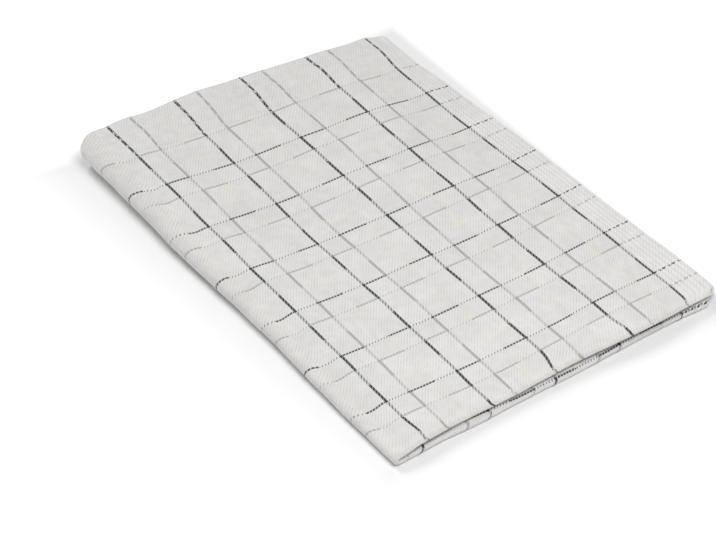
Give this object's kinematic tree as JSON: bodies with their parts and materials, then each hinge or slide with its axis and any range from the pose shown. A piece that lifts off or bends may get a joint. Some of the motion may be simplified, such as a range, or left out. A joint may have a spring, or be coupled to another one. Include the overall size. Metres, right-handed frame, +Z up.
{
  "type": "tea towel",
  "caption": "Woven cotton kitchen towel folded into quarters, with a round folded edge, open hemmed edges and a small windowpane check.",
  "frame": {"origin": "centre of the underside's outline, at the height of the surface that the towel lies on", "axes": "+X from the round fold to the open side, +Y from the front fold to the hemmed ends, +Z up"},
  "size_m": [0.2474, 0.3418, 0.0223],
  "materials": {
    "towel": "matt washed cotton in a fine twill weave, off-white, with a check of thin black, grey and pale yellow lines and a darker, ribbed strip along each side"
  },
  "bodies": {
    "root": {"towel": "towel"}
  },
  "joints": []
}
